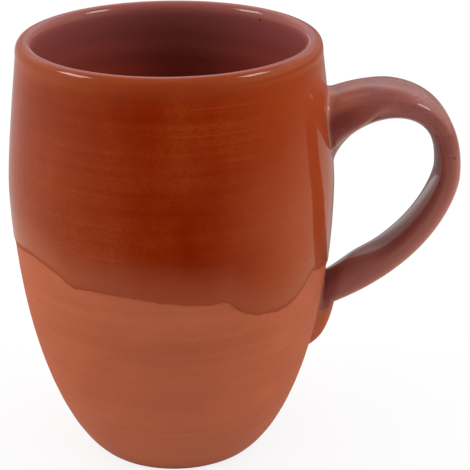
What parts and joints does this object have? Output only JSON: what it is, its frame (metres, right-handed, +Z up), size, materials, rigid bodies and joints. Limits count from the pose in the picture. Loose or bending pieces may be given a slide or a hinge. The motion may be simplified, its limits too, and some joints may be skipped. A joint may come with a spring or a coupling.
{
  "type": "clay mug",
  "caption": "Thrown clay mug with a full belly, rounded lip and pulled strap handle with a thumbed tail; a red-brown glaze stops in a wavy line above the bare clay foot.",
  "frame": {"origin": "centre of the flat foot, on the pot's axis, at the height of the table", "axes": "+Z up along the pot's axis, +X out through the middle of the handle, +Y away from the viewer of the picture"},
  "size_m": [0.1381, 0.1, 0.133],
  "materials": {
    "bare_clay": "matte fired red earthenware",
    "slip": "matte fired clay slip",
    "inside_glaze": "gloss, clear glaze over red clay",
    "outside_glaze": "gloss, clear glaze over red clay",
    "handle_glaze": "gloss, clear glaze over red clay"
  },
  "bodies": {
    "root": {"pot_body": "bare_clay", "handle_strap": "bare_clay", "upper_slip_joint": "slip", "lower_slip_joint": "slip", "upper_root_collar": "bare_clay", "lower_root_tail": "bare_clay", "inside_glaze": "inside_glaze", "outside_glaze": "outside_glaze", "handle_glaze": "handle_glaze"}
  },
  "joints": []
}
